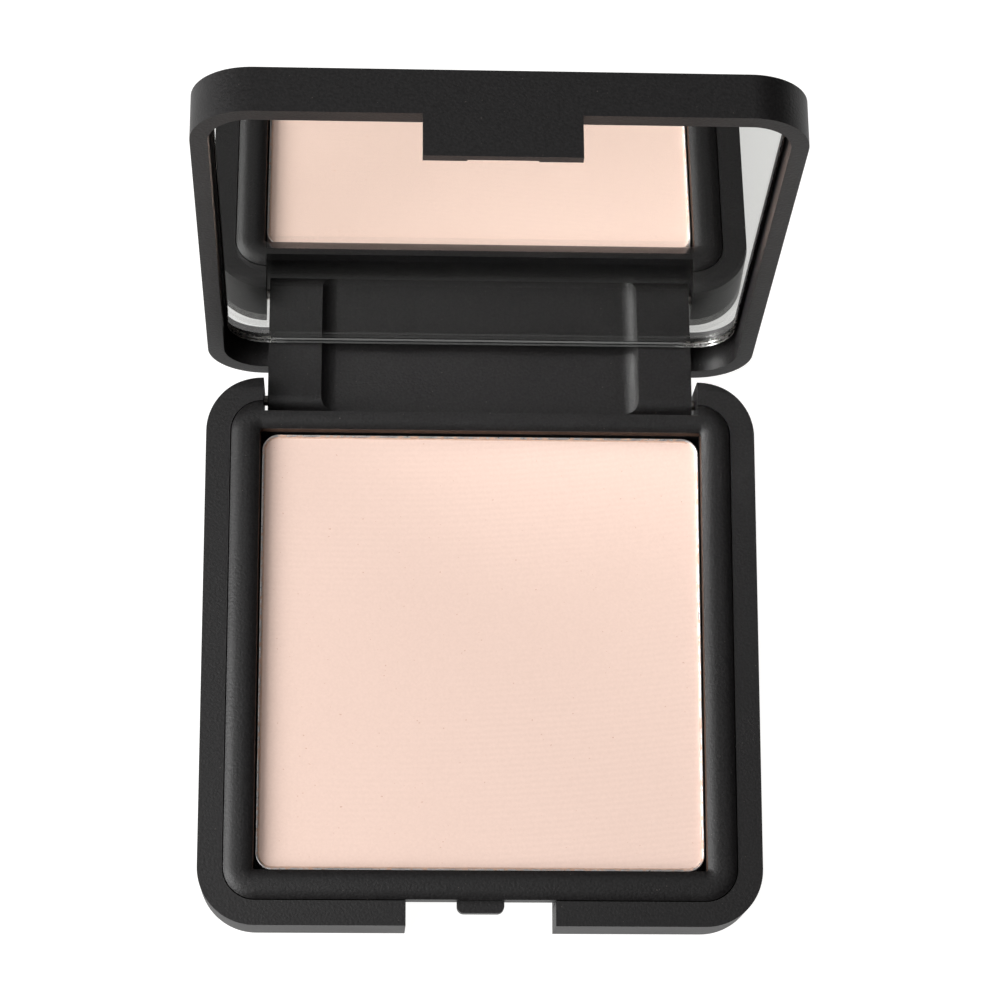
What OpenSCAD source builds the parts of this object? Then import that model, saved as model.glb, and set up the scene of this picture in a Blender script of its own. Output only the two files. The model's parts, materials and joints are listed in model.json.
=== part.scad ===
// Powder compact: a square moulded case with a mirror in the lid and a pan of pressed powder.
// Millimetres. Z is up, +Y is the hinge side. The origin is the centre of the base's underside.
// The lid is drawn shut and turned back about the hinge by open_angle.

/* [Case] */
// Width and depth of the base and of the lid
case_w = 68; // [64:0.5:76]
// Corner radius of the case, seen from above
corner_r = 7; // [6:0.5:9]
// Height of the base's rim above the table
base_h = 7.8; // [7.6:0.1:9]
// Thickness of the lid
lid_t = 5.4; // [5:0.1:6.5]
// Radius of the moulded outer edges
edge_r = 0.35; // [0.2:0.05:0.5]

/* [Base] */
// Width of the flat rim round the base
rim_w = 3; // [2.6:0.1:3.4]
// Thickness of the base's floor
floor_t = 1.2; // [1:0.1:1.5]
// Width of the thumb notch in the front
thumb_w = 18; // [14:0.5:22]

/* [Tray] */
// Width of the rounded band round the well
band_w = 3.6; // [3:0.1:4]
// Height of the band's edges above the rim
band_step = 0.2; // [0.1:0.05:0.4]
// Height of the band's crown above its edges
band_rise = 0.4; // [0.2:0.05:0.6]
// Wall thickness of the tray
tray_t = 1; // [0.8:0.1:1.1]
// Thickness of the tray's floor
tray_floor_t = 1.2; // [1:0.1:1.5]

/* [Powder] */
// Width and depth of the metal pan
pan_w = 54.2; // [52:0.1:54.4]
// Corner radius of the pan
pan_r = 2.1; // [1.5:0.1:3]
// Sheet thickness of the pan
pan_t = 0.3; // [0.2:0.05:0.4]
// How far the pan's edge lies below the rim
pan_drop = 1.2; // [0.8:0.1:1.6]
// How far the powder lies below the pan's edge
powder_drop = 0.3; // [0.1:0.05:0.5]

/* [Lid] */
// Width of the lid's rim
lid_rim_w = 2; // [1.8:0.1:2.4]
// Depth of the mirror's face below the lid's rim
mirror_drop = 2.3; // [2:0.1:2.6]
// Thickness of the mirror glass
mirror_t = 1.2; // [1:0.1:1.5]
// Thickness of the adhesive layers
glue_t = 0.15; // [0.1:0.05:0.25]

/* [Hinge] */
// How far the lid is turned back at rest, in degrees
open_angle = 98; // [0:1:98]
// Distance from the case's rear face to the hinge axis
axis_inset = 1.8; // [1.7:0.05:1.9]
// Height of the hinge axis above the table
axis_z = 3.2; // [3.1:0.05:3.3]
// Radius of the knuckle round the axis
knuckle_r = 2.1; // [2:0.05:2.2]
// Width of the lid's hinge block
block_w = 53.1; // [40:0.1:53.4]
// Gap between the block and the base at each end
block_gap = 0.45; // [0.2:0.05:0.5]
// Gap between the knuckle and the wall in front of it
knuckle_gap = 0.6; // [0.4:0.05:0.7]
// Diameter of the steel hinge pins
pin_d = 1.3; // [1.1:0.05:1.4]
// Length of each hinge pin
pin_len = 7; // [6:0.1:8]

/* [Catch] */
// Width of the tab on the lid's front
tab_w = 17.3; // [12:0.1:20]
// How far the tab hangs below the lid's rim
tab_len = 5.1; // [4.6:0.1:5.4]
// Thickness of the tab
tab_t = 1.15; // [1:0.05:1.3]
// Width of the catch nub
nub_w = 5.7; // [4:0.1:7]
// How far the nub stands out of the tray's front wall
nub_out = 1.4; // [1.2:0.05:1.4]

/* [Hidden] */

half = case_w / 2;
lap = 0.01;                                  // how far a cut runs past a face
wall_fn = 96;
small_fn = 48;

// Tray: its outside fits the hole inside the rim
tray_fit = 0.05;
tray_half = half - rim_w - tray_fit;
tray_r = corner_r - rim_w - tray_fit;
well_half = tray_half - band_w;
band_arc_r = (pow(band_w / 2, 2) + pow(band_rise, 2)) / (2 * band_rise);
band_top = base_h + band_step;
tray_floor_top = floor_t + tray_floor_t;
skirt_z = 5.4;                               // the front wall's lower edge in the thumb notch
thumb_depth = rim_w + 0.9;                   // the notch runs a little way under the tray

// Pan and powder: the pan is seated towards the well's front wall
pan_y = -0.15;
pan_z = tray_floor_top + glue_t;
pan_top = base_h - pan_drop;
powder_gap = 0.02;                           // between the powder and the pan's wall
pan_glue_w = 30;

// Hinge
axis_y = half - axis_inset;
block_front = axis_y - knuckle_r;            // the block's face, seen when the lid is open
rear_notch_y = block_front - knuckle_gap;
rear_notch_w = block_w + 2 * block_gap;
pin_in_base = 2.7;
pin_out_x = rear_notch_w / 2 + pin_in_base;
pin_play = 0.05;                             // radial running clearance in the block
panel_w = 39.8;                              // the shallow panel in the block's face
panel_depth = 1;
panel_cove_r = 2.4;
panel_cove_x = sqrt(pow(panel_cove_r, 2) - pow(panel_cove_r - panel_depth, 2));

// Lid, drawn shut, a little clear of the base's rim
lid_z = base_h + 0.05;
lid_top = lid_z + lid_t;
lid_inner_half = half - lid_rim_w;
lid_floor_z = lid_z + mirror_drop + mirror_t + glue_t;
mirror_half = lid_inner_half - 0.4;
mirror_rear = block_front - 0.1;
mirror_r = 4.9;
mirror_glue_w = 44;

// Catch: the bead on the tab lies under the nub
nub_h = 1.5;
nub_r = 0.85;
relief_w = 7.7;
relief_depth = 0.25;
bead_w = 5;
bead_h = 0.6;
bead_out = 0.3;
bead_drop = 0.1;                             // gap between the nub and the bead below it

// A square with round corners, centred
module round_square(w, d, r) {
    union() {
        square([w - 2 * r, d], center = true);
        square([w, d - 2 * r], center = true);
        for (x = [-1, 1], y = [-1, 1])
            translate([x * (w / 2 - r), y * (d / 2 - r)]) circle(r, $fn = wall_fn);
    }
}

// Sweeps a section round a square frame. In the section, x runs inwards from the outer face.
module frame(half_w, r) {
    run = half_w - r;
    for (a = [0:90:270]) rotate([0, 0, a]) {
        translate([half_w, run, 0]) rotate([90, 0, 0])
            linear_extrude(2 * run) mirror([1, 0]) children();
        translate([run, run, 0]) rotate_extrude(angle = 90, $fn = wall_fn)
            translate([r, 0]) mirror([1, 0]) children();
    }
}

// A wall's section with its outer edges and the rim's inner edge rounded
module wall_section(w, h, rim_up) {
    translate([edge_r, 0]) square([w - 2 * edge_r, h]);
    translate([0, edge_r]) square([edge_r, h - 2 * edge_r]);
    translate([w - edge_r, rim_up ? 0 : edge_r]) square([edge_r, h - edge_r]);
    for (z = [edge_r, h - edge_r]) translate([edge_r, z]) circle(edge_r, $fn = small_fn);
    translate([w - edge_r, rim_up ? h - edge_r : edge_r]) circle(edge_r, $fn = small_fn);
}

// The tray's band and walls: a rounded top over an open channel
module band_section() {
    intersection() {
        difference() {
            square([band_w, base_h + 2]);
            translate([tray_t, -lap])
                square([band_w - 2 * tray_t, base_h - tray_t - floor_t]);
        }
        union() {
            square([band_w, band_top - floor_t]);
            translate([band_w / 2, band_top - floor_t + band_rise - band_arc_r])
                circle(band_arc_r, $fn = wall_fn);
        }
    }
}

// The hinge notch, cut through the base and the tray
module rear_notch() {
    translate([-rear_notch_w / 2, rear_notch_y, -1]) cube([rear_notch_w, case_w, base_h + 4]);
}

// The notch that a thumb reaches through to lift the tab
module thumb_notch() {
    translate([-thumb_w / 2, -half - 1, -1]) cube([thumb_w, thumb_depth + 1, base_h + 4]);
}

// Leaves only a short skirt of the tray's front wall in the thumb notch
module skirt_cut() {
    translate([-thumb_w / 2, -half, 0]) cube([thumb_w, half - tray_half + tray_t + 0.2, skirt_z]);
}

// Both ends of the hinge axis: side is -1 for the left and 1 for the right
module along_hinge(side, from_x, length, r) {
    translate([side * from_x, axis_y, axis_z]) rotate([0, side * 90, 0])
        cylinder(r = r, h = length, $fn = small_fn);
}

// What lies outside a circle about the axis, behind it: the base's rear rim is rounded to that
// circle, so that the lid's rim passes over it
module behind_swing() {
    difference() {
        translate([-case_w, axis_y, axis_z]) cube([2 * case_w, case_w, case_w]);
        translate([-case_w, axis_y, axis_z]) rotate([0, 90, 0])
            cylinder(r = base_h - axis_z, h = 2 * case_w, $fn = wall_fn);
    }
}

module hinge_open() {
    translate([0, axis_y, axis_z]) rotate([-open_angle, 0, 0])
        translate([0, -axis_y, -axis_z]) children();
}

module base_shell() {
    color([0.13, 0.13, 0.14]) difference() {
        union() {
            frame(half, corner_r) wall_section(rim_w, base_h, true);
            linear_extrude(floor_t) round_square(2 * tray_half + 1, 2 * tray_half + 1, tray_r + 0.5);
        }
        behind_swing();
        rear_notch();
        thumb_notch();
        for (side = [-1, 1])
            along_hinge(side, rear_notch_w / 2 - 1, pin_in_base + 1, pin_d / 2);
    }
}

module catch_nub() {
    translate([0, -tray_half + lap - (nub_out + lap) / 2, skirt_z])
        linear_extrude(nub_h) union() {
            translate([0, nub_r / 2]) square([nub_w, nub_out + lap - nub_r], center = true);
            square([nub_w - 2 * nub_r, nub_out + lap], center = true);
            for (x = [-1, 1])
                translate([x * (nub_w / 2 - nub_r), nub_r - (nub_out + lap) / 2])
                    circle(nub_r, $fn = small_fn);
        }
}

// Closes the channel in front of the hinge notch and at its ends
module notch_wall() {
    translate([-rear_notch_w / 2 - tray_t, well_half, floor_t])
        cube([rear_notch_w + 2 * tray_t, band_w, base_h - floor_t - tray_t + lap]);
}

module inner_tray() {
    color([0.15, 0.15, 0.16]) union() {
        difference() {
            union() {
                translate([0, 0, floor_t]) frame(tray_half, tray_r) band_section();
                translate([0, 0, floor_t]) linear_extrude(tray_floor_t)
                    square(2 * well_half + 1, center = true);
                notch_wall();
            }
            rear_notch();
            skirt_cut();
        }
        catch_nub();
    }
}

module pan_adhesive() {
    color([0.85, 0.85, 0.8]) translate([0, pan_y, tray_floor_top])
        cylinder(d = pan_glue_w, h = glue_t, $fn = wall_fn);
}

module powder_pan() {
    color([0.8, 0.81, 0.82]) translate([0, pan_y, pan_z]) difference() {
        linear_extrude(pan_top - pan_z) round_square(pan_w, pan_w, pan_r);
        translate([0, 0, pan_t]) linear_extrude(pan_top)
            round_square(pan_w - 2 * pan_t, pan_w - 2 * pan_t, pan_r - pan_t);
    }
}

module powder_cake() {
    w = pan_w - 2 * (pan_t + powder_gap);
    color([0.95, 0.83, 0.76]) translate([0, pan_y, pan_z + pan_t])
        linear_extrude(pan_top - powder_drop - pan_z - pan_t)
            round_square(w, w, pan_r - pan_t - powder_gap);
}

module hinge_pin(side) {
    color([0.55, 0.52, 0.5]) along_hinge(side, pin_out_x - pin_len, pin_len, pin_d / 2);
}

module hinge_pin_left() {
    hinge_pin(-1);
}

module hinge_pin_right() {
    hinge_pin(1);
}

// The shallow panel in the block's face, with a cove along each side
module block_panel() {
    panel_floor = block_front + panel_depth;
    flat = panel_w / 2 - panel_cove_x;
    translate([0, panel_floor, 0]) linear_extrude(lid_floor_z) union() {
        translate([-flat, -panel_cove_r]) square([2 * flat, panel_cove_r]);
        for (x = [-1, 1]) translate([x * flat, -panel_cove_r]) circle(panel_cove_r, $fn = wall_fn);
    }
}

module hinge_block() {
    rear = half - block_front;
    difference() {
        union() {
            translate([-block_w / 2, block_front, axis_z])
                cube([block_w, rear, lid_floor_z - axis_z]);
            translate([-block_w / 2, axis_y, axis_z]) rotate([0, 90, 0])
                cylinder(r = knuckle_r, h = block_w, $fn = wall_fn);
        }
        translate([-block_w, half, -lap]) cube([2 * block_w, case_w, lid_top]);
        block_panel();
        for (side = [-1, 1])
            along_hinge(side, pin_out_x - pin_len - 0.3, pin_len, pin_d / 2 + pin_play);
    }
}

module lid_tab() {
    end_z = lid_z - tab_len;
    inner = -half + tab_t;
    difference() {
        translate([-tab_w / 2, -half, end_z]) cube([tab_w, tab_t, tab_len + lid_t / 2]);
        translate([-relief_w / 2, inner - relief_depth, end_z - lap])
            cube([relief_w, tab_t, tab_len]);
    }
    translate([-bead_w / 2, inner - relief_depth - lap, skirt_z - bead_drop - bead_h])
        cube([bead_w, relief_depth + bead_out + lap, bead_h]);
}

module lid_shell() {
    color([0.13, 0.13, 0.14]) hinge_open() union() {
        translate([0, 0, lid_z]) frame(half, corner_r) wall_section(lid_rim_w, lid_t, false);
        translate([0, 0, lid_floor_z]) linear_extrude(lid_top - lid_floor_z)
            round_square(2 * lid_inner_half + 1, 2 * lid_inner_half + 1, corner_r - lid_rim_w + 0.5);
        hinge_block();
        lid_tab();
    }
}

module mirror_adhesive() {
    color([0.8, 0.8, 0.78]) hinge_open()
        translate([0, (mirror_rear - mirror_half) / 2, lid_floor_z - glue_t])
            linear_extrude(glue_t) square(mirror_glue_w, center = true);
}

module mirror_glass() {
    depth = mirror_rear + mirror_half;
    color([0.75, 0.8, 0.85]) hinge_open()
        translate([0, mirror_rear - depth / 2, lid_z + mirror_drop])
            linear_extrude(mirror_t) round_square(2 * mirror_half, depth, mirror_r);
}

base_shell();
inner_tray();
pan_adhesive();
powder_pan();
powder_cake();
hinge_pin_left();
hinge_pin_right();
lid_shell();
mirror_adhesive();
mirror_glass();
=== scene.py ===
"""The powder compact's looks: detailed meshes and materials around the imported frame.

Shapes are made in millimetres and scaled to metres when a piece is finished. The lid's pieces are
made as they lie when the lid is shut, and then turned back about the hinge.
"""

import json
import math

import bmesh
import bpy
from mathutils import Matrix, Vector, noise


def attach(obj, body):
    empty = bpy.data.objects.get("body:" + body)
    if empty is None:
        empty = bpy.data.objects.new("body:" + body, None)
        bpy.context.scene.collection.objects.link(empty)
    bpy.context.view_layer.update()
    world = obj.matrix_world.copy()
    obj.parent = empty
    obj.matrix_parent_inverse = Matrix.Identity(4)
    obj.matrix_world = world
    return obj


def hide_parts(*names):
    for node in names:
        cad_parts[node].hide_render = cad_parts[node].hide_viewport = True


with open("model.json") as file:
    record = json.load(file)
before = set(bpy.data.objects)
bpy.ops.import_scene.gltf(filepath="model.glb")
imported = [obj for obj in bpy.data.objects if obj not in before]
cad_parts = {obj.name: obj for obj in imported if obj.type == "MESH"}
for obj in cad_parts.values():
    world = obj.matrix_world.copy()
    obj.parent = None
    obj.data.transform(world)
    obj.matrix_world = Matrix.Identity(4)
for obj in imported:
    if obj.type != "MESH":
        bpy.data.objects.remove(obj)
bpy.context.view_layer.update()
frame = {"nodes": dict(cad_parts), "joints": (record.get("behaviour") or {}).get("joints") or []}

MM = 0.001
LAP = 1.0  # how far a cutter runs past the faces that it cuts


# ---------------------------------------------------------------- sizes, in millimetres


def node_box(node, turn=None):
    """A CAD node's box in millimetres, after an optional turn."""
    turn = turn or Matrix.Identity(4)
    points = [turn @ (v.co / MM) for v in frame["nodes"][node].data.vertices]
    low = Vector([min(p[k] for p in points) for k in range(3)])
    high = Vector([max(p[k] for p in points) for k in range(3)])
    return low, high


HINGE = frame["joints"][0]
AXIS = Vector(HINGE["pos_m"]) / MM
OPEN_TURN = (
    Matrix.Translation(AXIS)
    @ Matrix.Rotation(math.radians(-HINGE["range_deg"][1]), 4, "X")
    @ Matrix.Translation(-AXIS)
)
SHUT_TURN = OPEN_TURN.inverted()

BASE_HIGH = node_box("base_shell")[1]
TRAY_LOW, TRAY_HIGH = node_box("inner_tray")
PAN_LOW, PAN_HIGH = node_box("powder_pan")
CAKE_LOW, CAKE_HIGH = node_box("powder_cake")
LID_HIGH = node_box("lid_shell", SHUT_TURN)[1]
GLASS_LOW, GLASS_HIGH = node_box("mirror_glass", SHUT_TURN)
GLUE_HIGH = node_box("mirror_adhesive", SHUT_TURN)[1]

HALF = BASE_HIGH.x
BASE_H = BASE_HIGH.z
CORNER_R = 7.0
CORNER_STEPS = 24
CASE_BEVEL = 0.3
LID_BEVEL = 0.24
FINE_BEVEL = 0.15
FAR = 3 * HALF  # well outside the compact

# Base
RIM_W = 3.0
FLOOR_T = 1.2
THUMB_W = 18.0
THUMB_Y = -HALF + RIM_W + 0.9
NOTCH_W = 54.0
NOTCH_Y = 29.5
SWING_R = BASE_H - AXIS.z

# Tray
TRAY_HALF = TRAY_HIGH.x
TRAY_R = CORNER_R - (HALF - TRAY_HALF)
BAND_W = 3.6
BAND_RISE = 0.4
BAND_TOP = TRAY_HIGH.z - BAND_RISE
BAND_DIP = 0.1  # how far the band's edges fall below a plain arc
BAND_POWER = 2.6  # above 2, the crown is flatter than an arc and its edges are rounder
BAND_STEPS = 22
TRAY_T = 1.0
TRAY_FLOOR_Z = 2.4
WELL_HALF = TRAY_HALF - BAND_W
DRAFT_TOP = 7.6  # the well's walls slope inwards from this height
DRAFT_END = 6.7  # down to this one
DRAFT_REAR = 0.12  # how far the rear wall slopes in
DRAFT_SIDE = 0.07  # how far the side walls do
TRAY_GAP = 0.07  # added to the fine line between the tray and the rim
SKIRT_Z = 5.4  # the lower edge of the tray's wall in the thumb notch
NUB_W = 5.7
NUB_H = 1.5
NUB_R = 0.85

# Pan and powder
PAN_MID = (PAN_LOW + PAN_HIGH) / 2
PAN_HALF = (PAN_HIGH.x - PAN_LOW.x) / 2
PAN_R = 2.1
PAN_T = 0.3
CAKE_HALF = (CAKE_HIGH.x - CAKE_LOW.x) / 2
CAKE_R = PAN_R - (PAN_HALF - CAKE_HALF)

# Lid, shut
LID_Z = BASE_H + 0.05
LID_RIM_W = 2.0
LID_FLOOR_Z = GLUE_HIGH.z
BLOCK_HALF = 26.55
BLOCK_FRONT = AXIS.y - 2.1
KNUCKLE_R = AXIS.y - BLOCK_FRONT
PANEL_HALF = 19.9
PANEL_DEPTH = 1.0
COVE_R = 2.4
TAB_HALF = 8.65
TAB_T = 1.15
TAB_END = 2.75
RELIEF_HALF = 3.85
RELIEF_DEPTH = 0.25
BEAD_HALF = 2.5
BEAD_OUT = 0.3
BEAD_H = 0.6
BEAD_Z = SKIRT_Z - 0.1 - BEAD_H
GLASS_R = 4.9
GLASS_BEVEL = 0.16
SILVER_GAP = 0.02  # between the silver and the glue behind it

# Pins
PIN_LOW, PIN_HIGH = node_box("hinge_pin_right")
PIN_R = (PIN_HIGH.z - PIN_LOW.z) / 2
BORE_PLAY = 0.05


# ---------------------------------------------------------------- mesh tools


def new_object(name, bm):
    """A linked object that holds the bmesh's geometry."""
    bmesh.ops.recalc_face_normals(bm, faces=bm.faces)
    mesh = bpy.data.meshes.new(name)
    bm.to_mesh(mesh)
    bm.free()
    obj = bpy.data.objects.new(name, mesh)
    bpy.context.scene.collection.objects.link(obj)
    return obj


def apply_modifiers(obj):
    graph = bpy.context.evaluated_depsgraph_get()
    made = bpy.data.meshes.new_from_object(obj.evaluated_get(graph))
    old, obj.data = obj.data, made
    obj.modifiers.clear()
    bpy.data.meshes.remove(old)


def combine(obj, operation, bm):
    """Adds a solid to obj, or cuts it away, with the exact solver."""
    tool = new_object("tool", bm)
    boolean = obj.modifiers.new("combine", "BOOLEAN")
    boolean.operation = operation
    boolean.solver = "EXACT"
    boolean.object = tool
    apply_modifiers(obj)
    mesh = tool.data
    bpy.data.objects.remove(tool)
    bpy.data.meshes.remove(mesh)


def merge_flat_faces(obj):
    """Joins faces that lie in one plane, so that a bevel meets whole faces."""
    bm = bmesh.new()
    bm.from_mesh(obj.data)
    bmesh.ops.remove_doubles(bm, verts=bm.verts, dist=1e-4)
    bmesh.ops.dissolve_limit(
        bm, angle_limit=math.radians(0.3), verts=bm.verts, edges=bm.edges
    )
    bm.to_mesh(obj.data)
    bm.free()


def round_edges(obj, width, steps=3, limit=38):
    """Rounds every edge that is sharper than limit degrees."""
    merge_flat_faces(obj)
    bevel = obj.modifiers.new("round", "BEVEL")
    bevel.width = width
    bevel.segments = steps
    bevel.limit_method = "ANGLE"
    bevel.angle_limit = math.radians(limit)
    apply_modifiers(obj)


def outline(half_x, half_y, r, centre=(0, 0), steps=CORNER_STEPS, run=1):
    """Points of a rounded rectangle, anticlockwise. Each straight side is run pieces long."""
    points = []
    for k, (sx, sy) in enumerate(((1, -1), (1, 1), (-1, 1), (-1, -1))):
        cx = centre[0] + sx * (half_x - r)
        cy = centre[1] + sy * (half_y - r)
        for i in range(steps + 1):
            a = math.radians(90 * (k - 1 + i / steps))
            points.append(Vector((cx + r * math.cos(a), cy + r * math.sin(a))))
    if run == 1:
        return points
    full = []
    for i, p in enumerate(points):
        full.append(p)
        if i % (steps + 1) == steps:
            q = points[(i + 1) % len(points)]
            full += [p.lerp(q, j / run) for j in range(1, run)]
    return full


def loft(rings):
    """A closed solid through rings of points, with flat ends."""
    bm = bmesh.new()
    made = [[bm.verts.new(p) for p in points] for points in rings]
    count = len(made[0])
    for low, high in zip(made, made[1:]):
        for i in range(count):
            j = (i + 1) % count
            bm.faces.new((low[i], low[j], high[j], high[i]))
    bm.faces.new(made[0])
    bm.faces.new(made[-1])
    return bm


def sweep(section, half, r, centre=(0, 0), steps=CORNER_STEPS, run=1):
    """A section swept round a square frame. It lists (distance inwards, height)."""
    rings = []
    for inset, z in section:
        points = outline(half - inset, half - inset, r - inset, centre, steps, run)
        rings.append([(p.x, p.y, z) for p in points])
    return loft(rings)


def prism(points, axis, start, end):
    """A solid whose flat outline is drawn across axis 'X' or 'Z'."""
    if axis == "X":
        return loft([[(at, a, b) for a, b in points] for at in (start, end)])
    return loft([[(a, b, at) for a, b in points] for at in (start, end)])


def block(x0, x1, y0, y1, z0, z1):
    return prism([(x0, y0), (x1, y0), (x1, y1), (x0, y1)], "Z", z0, z1)


def arc(centre, r, start, end, steps):
    """Points of an arc, with its angles in degrees."""
    angles = [math.radians(start + (end - start) * i / steps) for i in range(steps + 1)]
    return [(centre[0] + r * math.cos(a), centre[1] + r * math.sin(a)) for a in angles]


def rod(x0, x1, r, chamfer=0.0):
    """A round bar along the hinge axis, with chamfered ends."""
    stations = [(x0, r - chamfer), (x0 + chamfer, r), (x1 - chamfer, r), (x1, r - chamfer)]
    if not chamfer:
        stations = [(x0, r), (x1, r)]
    return loft(
        [[(x, y, z) for y, z in arc((AXIS.y, AXIS.z), s, 0, 360 - 7.5, 47)] for x, s in stations]
    )


def finish_piece(obj, body, materials, nodes, shade=50):
    """Scales a piece to metres, gives it its shading, body and materials, and hides the CAD nodes
    that it replaces.
    """
    mesh = obj.data
    if body == "lid":
        mesh.transform(OPEN_TURN)
    mesh.transform(Matrix.Scale(MM, 4))
    mesh.shade_smooth()
    mesh.set_sharp_from_angle(angle=math.radians(shade))
    normals = obj.modifiers.new("normals", "WEIGHTED_NORMAL")
    normals.keep_sharp = True
    for material in materials:
        mesh.materials.append(material)
    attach(obj, body)
    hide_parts(*nodes)
    return obj


# ---------------------------------------------------------------- materials


class Shader:
    """A Principled material with short ways to add nodes. Coordinates are in millimetres."""

    def __init__(self, name, **values):
        self.material = bpy.data.materials.new(name)
        self.material.use_nodes = True
        self.tree = self.material.node_tree
        self.bsdf = self.tree.nodes["Principled BSDF"]
        for socket, value in values.items():
            self.bsdf.inputs[socket.replace("_", " ")].default_value = value
        place = self.add("ShaderNodeTexCoord")
        self.place = self.add("ShaderNodeMapping", Scale=(1 / MM,) * 3)
        self.link(place.outputs["Object"], self.place.inputs["Vector"])

    def add(self, kind, **values):
        node = self.tree.nodes.new(kind)
        for socket, value in values.items():
            node.inputs[socket.replace("_", " ")].default_value = value
        return node

    def link(self, out, into):
        self.tree.links.new(out, into)

    def noise(self, scale, detail=2.0, stretch=(1, 1, 1)):
        """Noise with scale bumps a millimetre."""
        vector = self.place.outputs["Vector"]
        if stretch != (1, 1, 1):
            mapping = self.add("ShaderNodeMapping", Scale=stretch)
            self.link(vector, mapping.inputs["Vector"])
            vector = mapping.outputs["Vector"]
        node = self.add("ShaderNodeTexNoise", Scale=scale, Detail=detail)
        self.link(vector, node.inputs["Vector"])
        return node.outputs["Fac"]

    def ramp(self, value, low, high, to_low=0.0, to_high=1.0):
        node = self.add("ShaderNodeMapRange")
        for i, number in enumerate((low, high, to_low, to_high), 1):
            node.inputs[i].default_value = number
        self.link(value, node.inputs[0])
        return node.outputs[0]

    def math(self, operation, a, b):
        node = self.tree.nodes.new("ShaderNodeMath")
        node.operation = operation
        for i, value in enumerate((a, b)):
            if isinstance(value, (int, float)):
                node.inputs[i].default_value = value
            else:
                self.link(value, node.inputs[i])
        return node.outputs[0]

    def mix(self, factor, a, b):
        """A colour between a and b."""
        node = self.tree.nodes.new("ShaderNodeMix")
        node.data_type = "RGBA"
        self.link(factor, node.inputs["Factor"])
        for socket, value in ((node.inputs[6], a), (node.inputs[7], b)):
            if isinstance(value, tuple):
                socket.default_value = (*value, 1)
            else:
                self.link(value, socket)
        return node.outputs[2]

    def bump(self, height, depth):
        """Relief that is depth millimetres deep. Reliefs add up."""
        node = self.add("ShaderNodeBump", Strength=1.0, Distance=depth * MM)
        self.link(height, node.inputs["Height"])
        normal = self.bsdf.inputs["Normal"]
        if normal.is_linked:
            self.link(normal.links[0].from_socket, node.inputs["Normal"])
        self.link(node.outputs["Normal"], normal)


def moulded_plastic(name, rough):
    """Black plastic with a very fine grain, faint flow marks and a few specks of powder dust."""
    s = Shader(name, Specular_IOR_Level=0.45)
    flow = s.noise(0.12, 3)
    grain = s.noise(3.2, 2)
    tone = s.mix(s.ramp(grain, 0.30, 0.70), (0.0052, 0.0045, 0.0047), (0.0140, 0.0130, 0.0132))
    dust = s.ramp(s.noise(4.6, 0), 0.86, 0.90)
    s.link(s.mix(dust, tone, (0.10, 0.085, 0.078)), s.bsdf.inputs["Base Color"])
    s.link(s.ramp(flow, 0.3, 0.7, rough - 0.02, rough + 0.03), s.bsdf.inputs["Roughness"])
    s.bump(grain, 0.035)
    return s.material


def dusted_plastic():
    """The tray's plastic under a film of loose powder."""
    s = Shader("tray_plastic_dusted", Roughness=0.8, Specular_IOR_Level=0.3)
    film = s.ramp(s.noise(0.9, 4), 0.3, 0.7)
    s.link(s.mix(film, (0.050, 0.027, 0.018), (0.085, 0.050, 0.034)), s.bsdf.inputs["Base Color"])
    s.bump(s.noise(4.0, 2), 0.01)
    return s.material


def powder():
    """Pressed powder: matte, with the press cloth's fine lines and tiny grains."""
    s = Shader("powder", Roughness=1.0, Specular_IOR_Level=0.0)
    grain = s.noise(3.6, 3)
    cloth = s.add("ShaderNodeTexWave", Scale=0.44, Distortion=0.6, Detail=1.0, Detail_Scale=0.1)
    cloth.wave_type = "RINGS"
    cloth.rings_direction = "Z"
    bend = s.add("ShaderNodeMapping", Location=(15.0, -300.0, 0))
    s.link(s.place.outputs["Vector"], bend.inputs["Vector"])
    s.link(bend.outputs["Vector"], cloth.inputs["Vector"])
    patch = s.ramp(s.noise(0.045, 1), 0.38, 0.62, 0.0, 1.0)
    threads = s.math("MULTIPLY", cloth.outputs["Fac"], patch)
    light = s.math("ADD", s.ramp(grain, 0.3, 0.7, 0.0, 0.65), s.ramp(threads, 0, 1, 0.0, 0.35))
    tone = s.mix(light, (0.935, 0.695, 0.595), (0.995, 0.750, 0.648))
    specks = s.ramp(s.noise(3.1, 0), 0.85, 0.89)
    s.link(s.mix(specks, tone, (0.80, 0.52, 0.40)), s.bsdf.inputs["Base Color"])
    s.bump(threads, 0.007)
    s.bump(grain, 0.012)
    return s.material


def shaded_powder_edge():
    """Looser powder where it meets the pan's wall, darker as painted shade from the wall."""
    s = Shader("shaded_powder_edge", Roughness=0.95, Specular_IOR_Level=0.1)
    crumbs = s.noise(1.7, 4)
    # painted shade: these tones sit well below the pressed powder's
    tone = s.mix(s.ramp(crumbs, 0.3, 0.7), (0.74, 0.48, 0.36), (0.88, 0.62, 0.50))
    s.link(tone, s.bsdf.inputs["Base Color"])
    s.bump(crumbs, 0.06)
    return s.material


def pan_metal(name, low, high):
    """Pressed aluminium: bare where the noise is below low, powdered where it is above high."""
    s = Shader(name, Metallic=1.0)
    smear = s.ramp(s.noise(1.4, 4), low, high)
    s.link(s.mix(smear, (0.80, 0.79, 0.78), (0.83, 0.56, 0.43)), s.bsdf.inputs["Base Color"])
    s.link(s.ramp(smear, 0, 1, 1.0, 0.0), s.bsdf.inputs["Metallic"])
    s.link(s.ramp(s.noise(3.0, 3, (1, 1, 8)), 0.3, 0.7, 0.26, 0.45), s.bsdf.inputs["Roughness"])
    s.bump(s.noise(3.5, 3), 0.02)
    return s.material


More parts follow.
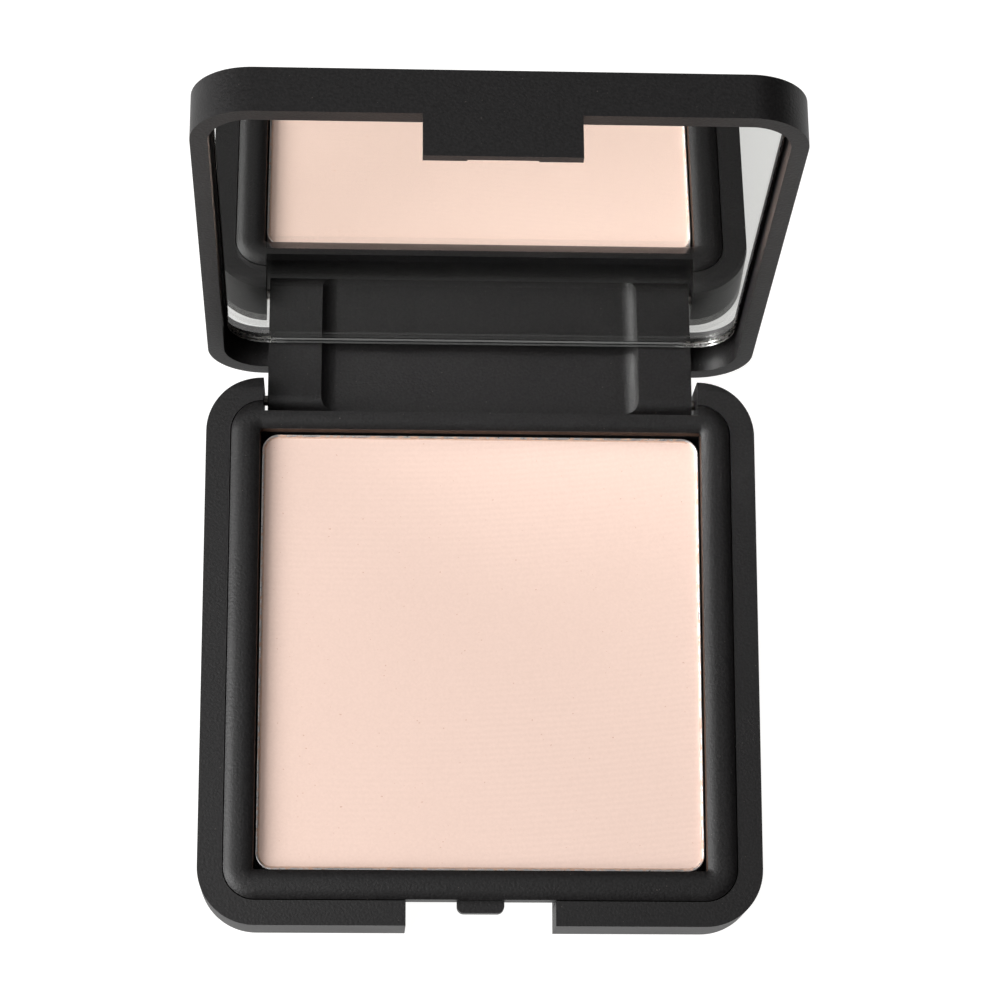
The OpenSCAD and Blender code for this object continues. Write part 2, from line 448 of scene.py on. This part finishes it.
def pin_steel():
    """Drawn steel wire with fine rings round it."""
    s = Shader("pin_steel", Metallic=1.0)
    rings = s.noise(1.0, 3, (14, 0.5, 0.5))
    s.link(s.mix(rings, (0.40, 0.36, 0.33), (0.55, 0.51, 0.48)), s.bsdf.inputs["Base Color"])
    s.link(s.ramp(rings, 0.3, 0.7, 0.24, 0.40), s.bsdf.inputs["Roughness"])
    s.bump(rings, 0.002)
    return s.material


def dried_glue(name, colour):
    """Glue that dried in low ripples."""
    s = Shader(name, Roughness=0.35, Specular_IOR_Level=0.5)
    ripple = s.noise(0.35, 4)
    shade = tuple(c * 0.86 for c in colour)
    s.link(s.mix(ripple, shade, colour), s.bsdf.inputs["Base Color"])
    s.bump(ripple, 0.05)
    return s.material


def mirror_silver():
    """The silver behind the glass, with a trace of haze."""
    s = Shader("mirror_silver", Metallic=1.0)
    haze = s.noise(0.08, 2)
    s.link(s.mix(haze, (0.955, 0.950, 0.935), (0.965, 0.962, 0.950)), s.bsdf.inputs["Base Color"])
    s.link(s.ramp(haze, 0.3, 0.7, 0.0, 0.006), s.bsdf.inputs["Roughness"])
    return s.material


def mirror_glass_material():
    """Clear float glass."""
    s = Shader("mirror_glass_clear", Transmission_Weight=1.0, IOR=1.5, Roughness=0.0)
    tint = s.mix(s.noise(0.05, 1), (0.985, 0.995, 0.990), (0.99, 1.0, 0.995))
    s.link(tint, s.bsdf.inputs["Base Color"])
    return s.material


def mirror_edge_material():
    """The glass's cut edge: smooth at the block, chipped beyond it, and less so higher up. The
    smooth part's grey is painted shade, and the chipped part's beige is a painted reflection of the
    powder.
    """
    s = Shader("mirror_edge_cut", Transmission_Weight=1.0, IOR=1.5)
    split = s.add("ShaderNodeSeparateXYZ")
    s.link(s.place.outputs["Vector"], split.inputs["Vector"])
    beyond = s.ramp(s.math("ABSOLUTE", split.outputs["X"], 0), BLOCK_HALF - 2, BLOCK_HALF)
    low = s.ramp(split.outputs["Z"], 10, 16, 1.0, 0.35)
    chips_and_glint = s.math("MULTIPLY", s.noise(1.6, 4), s.math("MULTIPLY", beyond, low))
    # painted light: grey darkens the smooth edge as painted shade, and beige on the chipped part is
    # a painted reflection of the powder
    s.link(s.mix(chips_and_glint, (0.42, 0.41, 0.39), (1.0, 0.90, 0.80)), s.bsdf.inputs["Base Color"])
    s.link(s.ramp(chips_and_glint, 0.0, 0.7, 0.02, 0.40), s.bsdf.inputs["Roughness"])
    s.link(s.ramp(chips_and_glint, 0.3, 0.6, 1.0, 0.3), s.bsdf.inputs["Transmission Weight"])
    s.bump(chips_and_glint, 0.03)
    return s.material


# ---------------------------------------------------------------- the base's pieces


def make_base_shell(material):
    obj = new_object(
        "base_shell_moulded",
        sweep([(0, 0), (0, BASE_H), (RIM_W, BASE_H), (RIM_W, FLOOR_T)], HALF, CORNER_R),
    )
    swing = arc((AXIS.y, AXIS.z), SWING_R, 90, 0, 60)
    swing += [(FAR, AXIS.z), (FAR, FAR), (AXIS.y, FAR)]
    combine(obj, "DIFFERENCE", prism(swing, "X", -FAR, FAR))
    top = BASE_H + LAP
    combine(obj, "DIFFERENCE", block(-NOTCH_W / 2, NOTCH_W / 2, NOTCH_Y, FAR, -LAP, top))
    combine(obj, "DIFFERENCE", block(-THUMB_W / 2, THUMB_W / 2, -FAR, THUMB_Y, -LAP, top))
    round_edges(obj, CASE_BEVEL, 4)
    for side in (-1, 1):
        near, deep = sorted((side * (NOTCH_W / 2 - LAP), side * PIN_HIGH.x))
        combine(obj, "DIFFERENCE", rod(near, deep, PIN_R))
    return finish_piece(obj, "base", [material], ["base_shell"])


def band_section():
    """The tray's section: channel, outer wall, crowned band and well wall."""
    width = BAND_W - TRAY_GAP
    channel_z = BASE_H - TRAY_T
    section = [
        (width - TRAY_T, FLOOR_T),
        (width - TRAY_T, channel_z),
        (TRAY_T, channel_z),
        (TRAY_T, FLOOR_T),
        (0, FLOOR_T),
    ]
    for i in range(BAND_STEPS + 1):
        side = math.sin(math.pi * (i / BAND_STEPS - 0.5))  # -1 to 1, with short steps at the edges
        crown = (BAND_RISE + BAND_DIP) * (1 - abs(side) ** BAND_POWER)
        section.append((width * (1 + side) / 2, BAND_TOP - BAND_DIP + crown))
    section.append((width, TRAY_FLOOR_Z))
    return section


def nub_solid(bottom, top):
    """The catch nub's solid, with round outer corners."""
    tip = TRAY_LOW.y
    root = -TRAY_HALF + 0.3
    points = [(NUB_W / 2, root), (-NUB_W / 2, root)]
    points += arc((-NUB_W / 2 + NUB_R, tip + NUB_R), NUB_R, 180, 270, 10)
    points += arc((NUB_W / 2 - NUB_R, tip + NUB_R), NUB_R, 270, 360, 10)
    return prism(points, "Z", bottom, top)


def wall_draft(reach, run, place):
    """A steep draft on a well wall. place turns (along, inwards, height) into a point."""
    sunk = 0.3  # how far it is sunk into the wall and into the floor
    foot = TRAY_FLOOR_Z - sunk
    section = [(-sunk, DRAFT_TOP), (0, DRAFT_TOP), (reach, DRAFT_END), (reach, foot), (-sunk, foot)]
    return loft([[place(at, inwards, z) for inwards, z in section] for at in (-run, run)])


def make_tray(plastic, dusted):
    obj = new_object(
        "inner_tray_moulded", sweep(band_section(), TRAY_HALF - TRAY_GAP, TRAY_R - TRAY_GAP)
    )
    end = NOTCH_W / 2 + TRAY_T
    wall = block(-end, end, WELL_HALF + TRAY_T / 2, TRAY_HALF - 0.01, FLOOR_T, BASE_H - TRAY_T / 2)
    combine(obj, "UNION", wall)
    combine(obj, "DIFFERENCE", block(-NOTCH_W / 2, NOTCH_W / 2, NOTCH_Y, FAR, -LAP, FAR))
    back = -TRAY_HALF + TRAY_T + 0.2
    combine(obj, "DIFFERENCE", block(-THUMB_W / 2, THUMB_W / 2, -FAR, back, -LAP, SKIRT_Z))
    combine(obj, "UNION", nub_solid(SKIRT_Z, SKIRT_Z + NUB_H))
    run = WELL_HALF + 0.2
    rear = wall_draft(DRAFT_REAR, run, lambda at, inwards, z: (at, WELL_HALF - inwards, z))
    combine(obj, "UNION", rear)
    for side in (-1, 1):
        wall = wall_draft(
            DRAFT_SIDE, run, lambda at, inwards, z: (side * (WELL_HALF - inwards), at, z)
        )
        combine(obj, "UNION", wall)
    round_edges(obj, FINE_BEVEL, 3)
    for face in obj.data.polygons:
        at = face.center
        in_height = DRAFT_END - 0.02 < at.z < DRAFT_TOP + 0.02
        sloping = 0.04 < face.normal.z < 0.6
        if in_height and sloping and max(abs(at.x), abs(at.y)) < run:
            face.material_index = 1
    return finish_piece(obj, "base", [plastic, dusted], ["inner_tray"])


def reach_from(middle, corner, point):
    """How far a point is from the middle of a round-cornered square, measured to its sides."""
    x, y = abs(point.x - middle.x) - corner, abs(point.y - middle.y) - corner
    if x > 0 and y > 0:
        return corner + math.hypot(x, y)
    return corner + max(x, y)


def make_pan(bare, smeared):
    """The pan: an uneven cut edge, bare outside and smeared with powder inside."""
    bottom, top = PAN_LOW.z, PAN_HIGH.z
    soft = 0.1  # how much the sheet's edges are rounded
    section = [
        (soft, bottom),
        (0, bottom + soft),
        (0, top - soft),
        (soft * 0.3, top - soft * 0.3),
        (soft, top),
        (PAN_T - soft, top - 0.02),
        (PAN_T, top - soft),
        (PAN_T, bottom + PAN_T),
    ]
    centre = (PAN_MID.x, PAN_MID.y)
    obj = new_object("powder_pan_pressed", sweep(section, PAN_HALF, PAN_R, centre, 14, 120))
    for face in obj.data.polygons:
        reach = reach_from(PAN_MID, PAN_HALF - PAN_R, face.center)
        face.material_index = int(face.center.z > top - 2 and reach < PAN_HALF - soft * 0.99)
    for v in obj.data.vertices:
        if v.co.z > top - 2 * soft:
            v.co.z -= 0.05 * (0.5 + 0.5 * noise.noise(v.co * 0.9))  # slow waves
            v.co.z -= 0.03 * (0.5 + 0.5 * noise.noise(v.co * 3.1))  # fine burrs
    return finish_piece(obj, "base", [bare, smeared], ["powder_pan"])


def make_cake(pressed, loose):
    """The powder: flat, with a thin crumbly ridge at the pan's wall that is lowest on the right."""
    ridge, ridge_reach, rings = 0.16, 0.16, 20
    top = CAKE_HIGH.z - 0.04
    crumbs_and_shade_w = 0.16
    section = [(0, CAKE_LOW.z)]
    for i in range(rings + 1):
        inset = CAKE_R * 0.97 * (i / rings) ** 1.5
        section.append((inset, top + ridge * math.exp(-inset / ridge_reach)))
    centre = (PAN_MID.x, PAN_MID.y)
    obj = new_object("powder_cake_pressed", sweep(section, CAKE_HALF, CAKE_R, centre, 14, 80))
    for v in obj.data.vertices:
        if v.co.z < top:
            continue
        right = min(max((v.co.x - PAN_MID.x - CAKE_HALF + 2) / 1.5, 0), 1)
        worn = 0.3 + 0.5 * right
        v.co.z -= (v.co.z - top) * worn * (1 + 0.6 * noise.noise(v.co * 2.7))
    # The edge material (loose) is crumbly powder darkened as painted shade. It runs along the left,
    # front and rear walls and stops 1 mm short of the lit right wall.
    for face in obj.data.polygons:
        inset = CAKE_HALF - reach_from(PAN_MID, CAKE_HALF - CAKE_R, face.center)
        off_lit_right_edge = face.center.x < PAN_MID.x + CAKE_HALF - 1
        face.material_index = int(inset < crumbs_and_shade_w and off_lit_right_edge and face.center.z > top - 0.5)
    return finish_piece(obj, "base", [pressed, loose], ["powder_cake"], shade=60)


def make_pin(side, material):
    name = "hinge_pin_left" if side < 0 else "hinge_pin_right"
    low, high = node_box(name)
    obj = new_object(name + "_wire", rod(low.x, high.x, PIN_R, 0.12))
    return finish_piece(obj, "base", [material], [name])


# ---------------------------------------------------------------- the lid's pieces


def hinge_block():
    """The block and its knuckle, drawn as one outline across the hinge."""
    rear = math.degrees(math.acos((HALF - AXIS.y) / KNUCKLE_R))
    points = arc((AXIS.y, AXIS.z), KNUCKLE_R, 180, 360 - rear, 40)
    points += [(HALF, LID_FLOOR_Z + LAP), (BLOCK_FRONT, LID_FLOOR_Z + LAP)]
    return prism(points, "X", -BLOCK_HALF, BLOCK_HALF)


def panel_cutter():
    """The shallow panel in the block's face, with a cove along each side."""
    floor_y = BLOCK_FRONT + PANEL_DEPTH
    cove_x = math.sqrt(COVE_R**2 - (COVE_R - PANEL_DEPTH) ** 2)
    centre_x = PANEL_HALF - cove_x
    points = arc((centre_x, floor_y - COVE_R), COVE_R, 0, 90, 24)
    points += arc((-centre_x, floor_y - COVE_R), COVE_R, 90, 180, 24)
    return prism(points, "Z", -LAP, LID_FLOOR_Z)


def make_lid_shell(material):
    section = [(0, LID_HIGH.z), (0, LID_Z), (LID_RIM_W, LID_Z), (LID_RIM_W, LID_FLOOR_Z)]
    obj = new_object("lid_shell_moulded", sweep(section, HALF, CORNER_R))
    combine(obj, "UNION", hinge_block())
    combine(obj, "DIFFERENCE", panel_cutter())
    inner = -HALF + TAB_T
    combine(obj, "UNION", block(-TAB_HALF, TAB_HALF, -HALF, inner, TAB_END, LID_Z + LAP))
    round_edges(obj, LID_BEVEL, 3)
    relief = block(-RELIEF_HALF, RELIEF_HALF, inner - RELIEF_DEPTH, 0, TAB_END - LAP, LID_Z)
    combine(obj, "DIFFERENCE", relief)
    bead_root = inner - RELIEF_DEPTH - 0.1
    bead = block(-BEAD_HALF, BEAD_HALF, bead_root, inner + BEAD_OUT, BEAD_Z, BEAD_Z + BEAD_H)
    combine(obj, "UNION", bead)
    for side in (-1, 1):
        ends = sorted((side * (PIN_LOW.x - 0.3), side * (BLOCK_HALF + LAP)))
        combine(obj, "DIFFERENCE", rod(*ends, PIN_R + BORE_PLAY))
    return finish_piece(obj, "lid", [material], ["lid_shell"])


def make_mirror(glass, silver, edge):
    """The mirror: clear glass with a cut edge, silvered on its back face."""
    middle = (GLASS_LOW + GLASS_HIGH) / 2
    size = (GLASS_HIGH - GLASS_LOW) / 2
    points = outline(size.x, size.y, GLASS_R, (middle.x, middle.y))
    back = GLASS_HIGH.z - SILVER_GAP
    obj = new_object("mirror_plate", prism([tuple(p) for p in points], "Z", GLASS_LOW.z, back))
    round_edges(obj, GLASS_BEVEL, 1)
    for face in obj.data.polygons:
        if abs(face.normal.z) < 0.9:
            face.material_index = 2
        elif face.normal.z > 0:
            face.material_index = 1
    materials = [glass, silver, edge]
    return finish_piece(obj, "lid", materials, ["mirror_glass"], shade=30)


# ---------------------------------------------------------------- the scene


def make_floor():
    """A white table with an even glow, which lights the object less than it shows."""
    bm = bmesh.new()
    bmesh.ops.create_grid(bm, x_segments=8, y_segments=8, size=3.0)
    obj = new_object("floor", bm)
    s = Shader("floor_white", Base_Color=(0.2, 0.2, 0.2, 1), Roughness=0.9, Specular_IOR_Level=0.0)
    s.bsdf.inputs["Emission Color"].default_value = (1.0, 0.995, 0.985, 1)
    rays = s.add("ShaderNodeLightPath")
    glow = s.ramp(rays.outputs["Is Camera Ray"], 0, 1, FLOOR_LIGHT, FLOOR_GLOW)
    s.link(glow, s.bsdf.inputs["Emission Strength"])
    obj.data.materials.append(s.material)


def add_softbox(name, azimuth, elevation, watts):
    """A square light aimed at the origin. Azimuth 0 is the right side and 90 the back."""
    lamp = bpy.data.lights.new(name, "AREA")
    lamp.shape = "SQUARE"
    lamp.size = SOFTBOX_SIZE
    lamp.energy = watts
    a, e = math.radians(azimuth), math.radians(elevation)
    way = Vector((math.cos(e) * math.cos(a), math.cos(e) * math.sin(a), math.sin(e)))
    obj = bpy.data.objects.new(name, lamp)
    obj.location = way * SOFTBOX_DISTANCE
    obj.rotation_euler = (-way).to_track_quat("-Z", "Y").to_euler()
    bpy.context.scene.collection.objects.link(obj)


def add_world(strength):
    world = bpy.data.worlds.new("studio")
    world.use_nodes = True
    background = world.node_tree.nodes["Background"]
    background.inputs["Color"].default_value = (1.0, 1.0, 1.0, 1)
    background.inputs["Strength"].default_value = strength
    bpy.context.scene.world = world


def add_camera():
    data = bpy.data.cameras.new("camera")
    data.sensor_width = 36.0
    data.lens = CAMERA_LENS
    data.clip_start, data.clip_end = 0.01, 20
    camera = bpy.data.objects.new("camera", data)
    camera.location = CAMERA_AT
    camera.rotation_euler = CAMERA_TURN
    bpy.context.scene.collection.objects.link(camera)
    bpy.context.scene.camera = camera


FLOOR_GLOW = 1.0  # what the camera sees
FLOOR_LIGHT = 0.66  # what the object is lit by
SOFTBOX_SIZE = 0.45  # metres
SOFTBOX_DISTANCE = 0.8  # metres
SOFTBOXES = {  # azimuth, elevation and watts
    "left_front": (205, 36, 3.55),
    "left": (180, 36, 3.0),
    "left_low": (180, 22, 1.15),
    "left_high": (180, 65, 1.6),
    "right_high": (0, 60, 0.2),
    "front_high": (270, 60, 0.2),
    "back_high": (90, 60, 0.35),
}
WORLD_GLOW = 0.01
CAMERA_LENS = 118.3  # millimetres
CAMERA_AT = (-0.01545, -0.0810, 0.40043)  # metres
CAMERA_TURN = (0.248, -0.045, -0.001)  # radians
GLUES = {"pan_adhesive": (0.80, 0.78, 0.70), "mirror_adhesive": (0.75, 0.75, 0.70)}

case_plastic = moulded_plastic("case_plastic", 0.46)
tray_plastic = moulded_plastic("tray_plastic", 0.42)
steel = pin_steel()

make_base_shell(case_plastic)
make_tray(tray_plastic, dusted_plastic())
make_pan(pan_metal("pan_metal", 0.62, 0.74), pan_metal("pan_metal_smeared", 0.46, 0.62))
make_cake(powder(), shaded_powder_edge())
for side in (-1, 1):
    make_pin(side, steel)
make_lid_shell(case_plastic)
make_mirror(mirror_glass_material(), mirror_silver(), mirror_edge_material())
for node, colour in GLUES.items():
    data = frame["nodes"][node].data
    data.materials.clear()
    data.materials.append(dried_glue(node + "_glue", colour))

make_floor()
add_world(WORLD_GLOW)
for name, (azimuth, elevation, watts) in SOFTBOXES.items():
    add_softbox(name, azimuth, elevation, watts)
add_camera()
scene = bpy.context.scene
scene.view_settings.view_transform = "Standard"
scene.cycles.blur_glossy = 0.0  # keeps the light that the mirror throws on the powder
